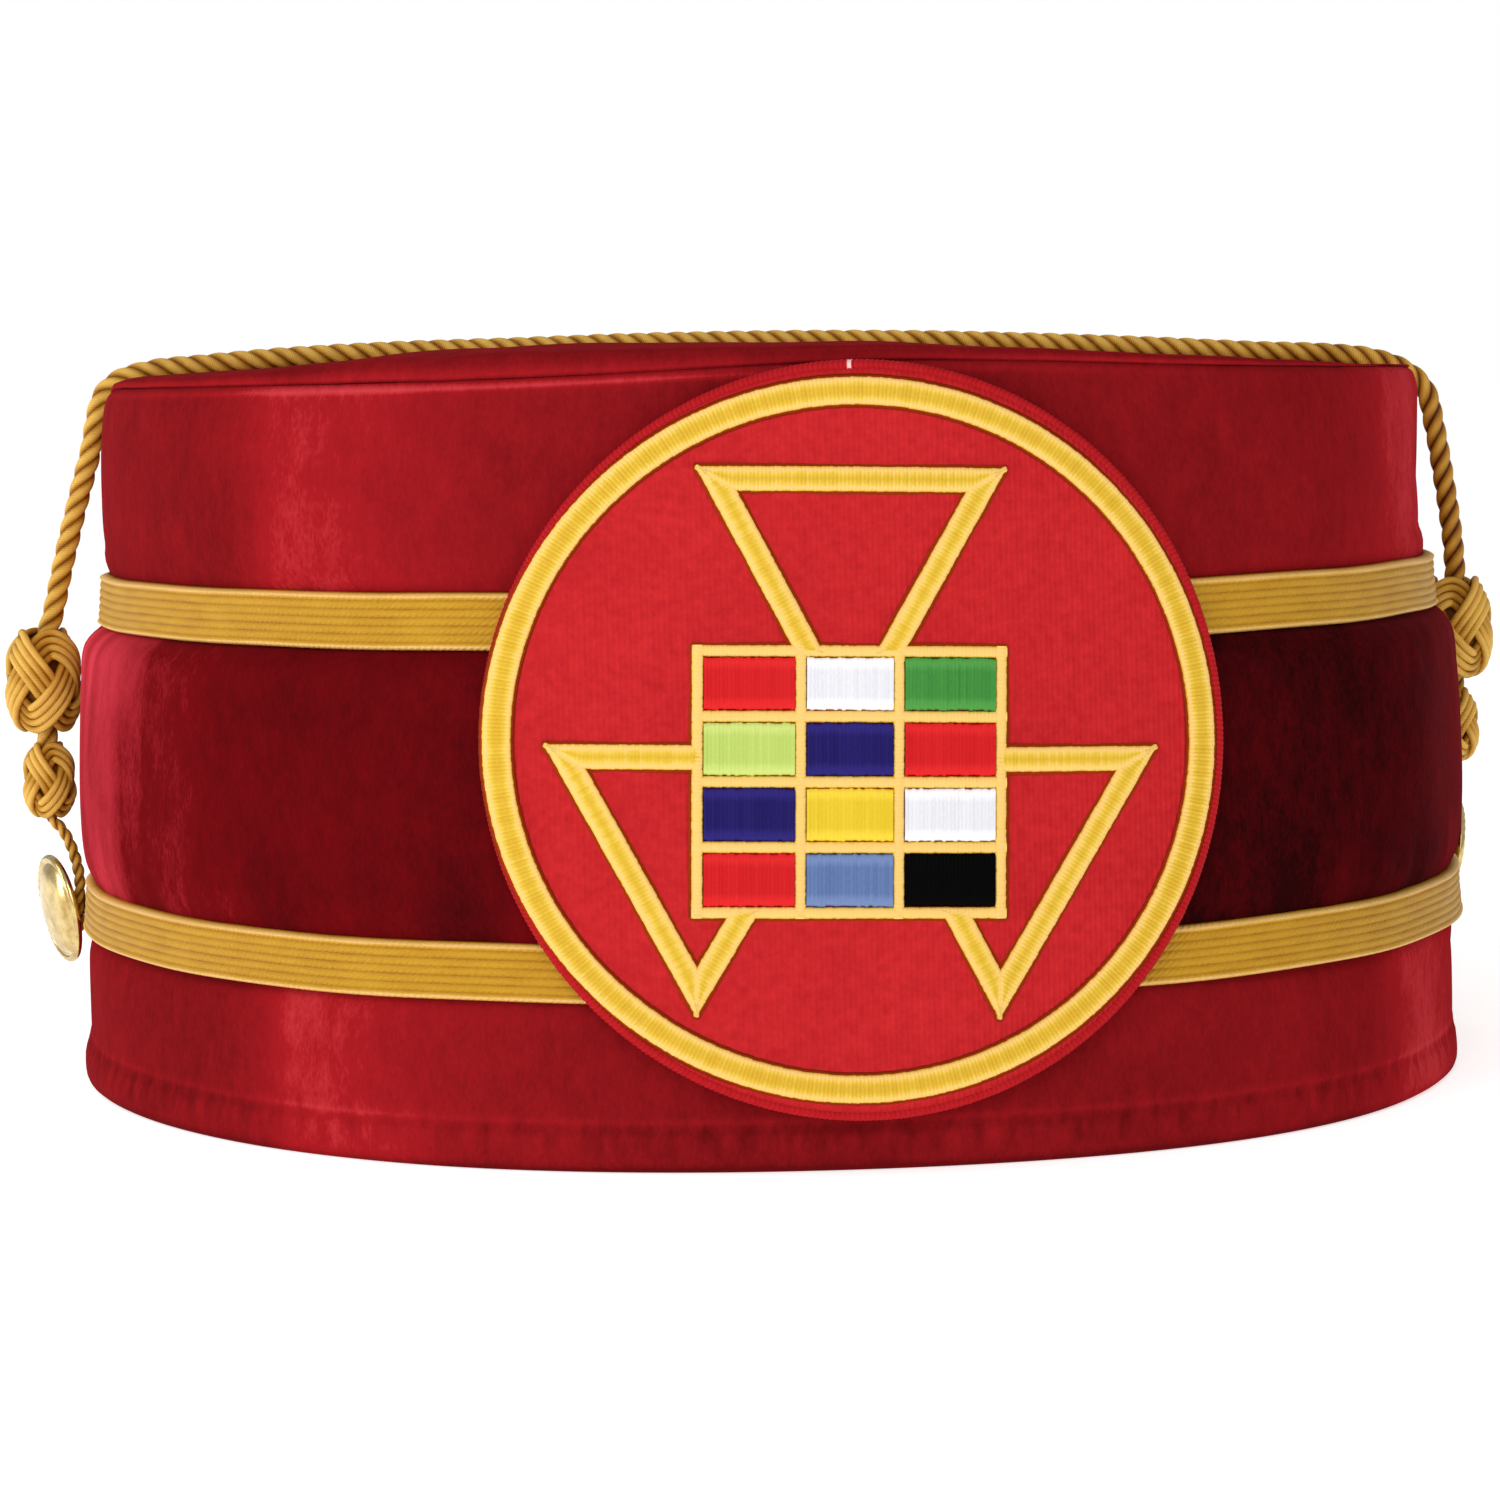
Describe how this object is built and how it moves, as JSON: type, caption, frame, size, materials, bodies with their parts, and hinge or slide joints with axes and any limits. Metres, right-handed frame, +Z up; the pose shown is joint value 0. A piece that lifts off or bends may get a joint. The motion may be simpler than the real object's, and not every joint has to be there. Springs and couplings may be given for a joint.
{
  "type": "royal arch cap",
  "caption": "Oval velvet ceremonial cap with a flat top, two ribbed gold tapes, a round embroidered front emblem and a twisted cord over the top.",
  "frame": {"origin": "middle of the head opening, in the plane of the rim that the cap stands on", "axes": "+Z up through the flat top, -Y out of the emblem at the front, +X to the cap's right side as seen from the front"},
  "size_m": [0.1922, 0.2029, 0.0914],
  "materials": {
    "velvet": "short-pile crimson velvet",
    "dark_velvet": "short-pile dark maroon velvet",
    "gold_tape": "ribbed gold braid",
    "red_twill": "red twill with an overlocked edge",
    "gold_thread": "satin stitch",
    "gold_cord": "twisted old gold thread",
    "red_thread": "satin stitch",
    "white_thread": "satin stitch",
    "green_thread": "satin stitch",
    "lime_thread": "satin stitch",
    "navy_thread": "satin stitch",
    "yellow_thread": "satin stitch",
    "blue_thread": "satin stitch",
    "black_thread": "satin stitch",
    "brass": "worn polish"
  },
  "bodies": {
    "root": {"crown_wall": "velvet", "crown_top": "velvet", "centre_band": "dark_velvet", "tape_lower": "gold_tape", "tape_upper": "gold_tape", "patch_base": "red_twill", "patch_border": "red_twill", "emblem_ring": "gold_thread", "emblem_triangle_top": "gold_thread", "emblem_triangle_left": "gold_thread", "emblem_triangle_right": "gold_thread", "emblem_frame": "gold_thread", "stone_11": "red_thread", "stone_12": "white_thread", "stone_13": "green_thread", "stone_21": "lime_thread", "stone_22": "navy_thread", "stone_23": "red_thread", "stone_31": "navy_thread", "stone_32": "yellow_thread", "stone_33": "white_thread", "stone_41": "red_thread", "stone_42": "blue_thread", "stone_43": "black_thread", "cord": "gold_cord", "knot_large_left": "gold_cord", "knot_large_right": "gold_cord", "knot_small_left": "gold_cord", "knot_small_right": "gold_cord", "end_loop_left": "gold_cord", "end_loop_right": "gold_cord", "button_left": "brass", "button_right": "brass"}
  },
  "joints": []
}
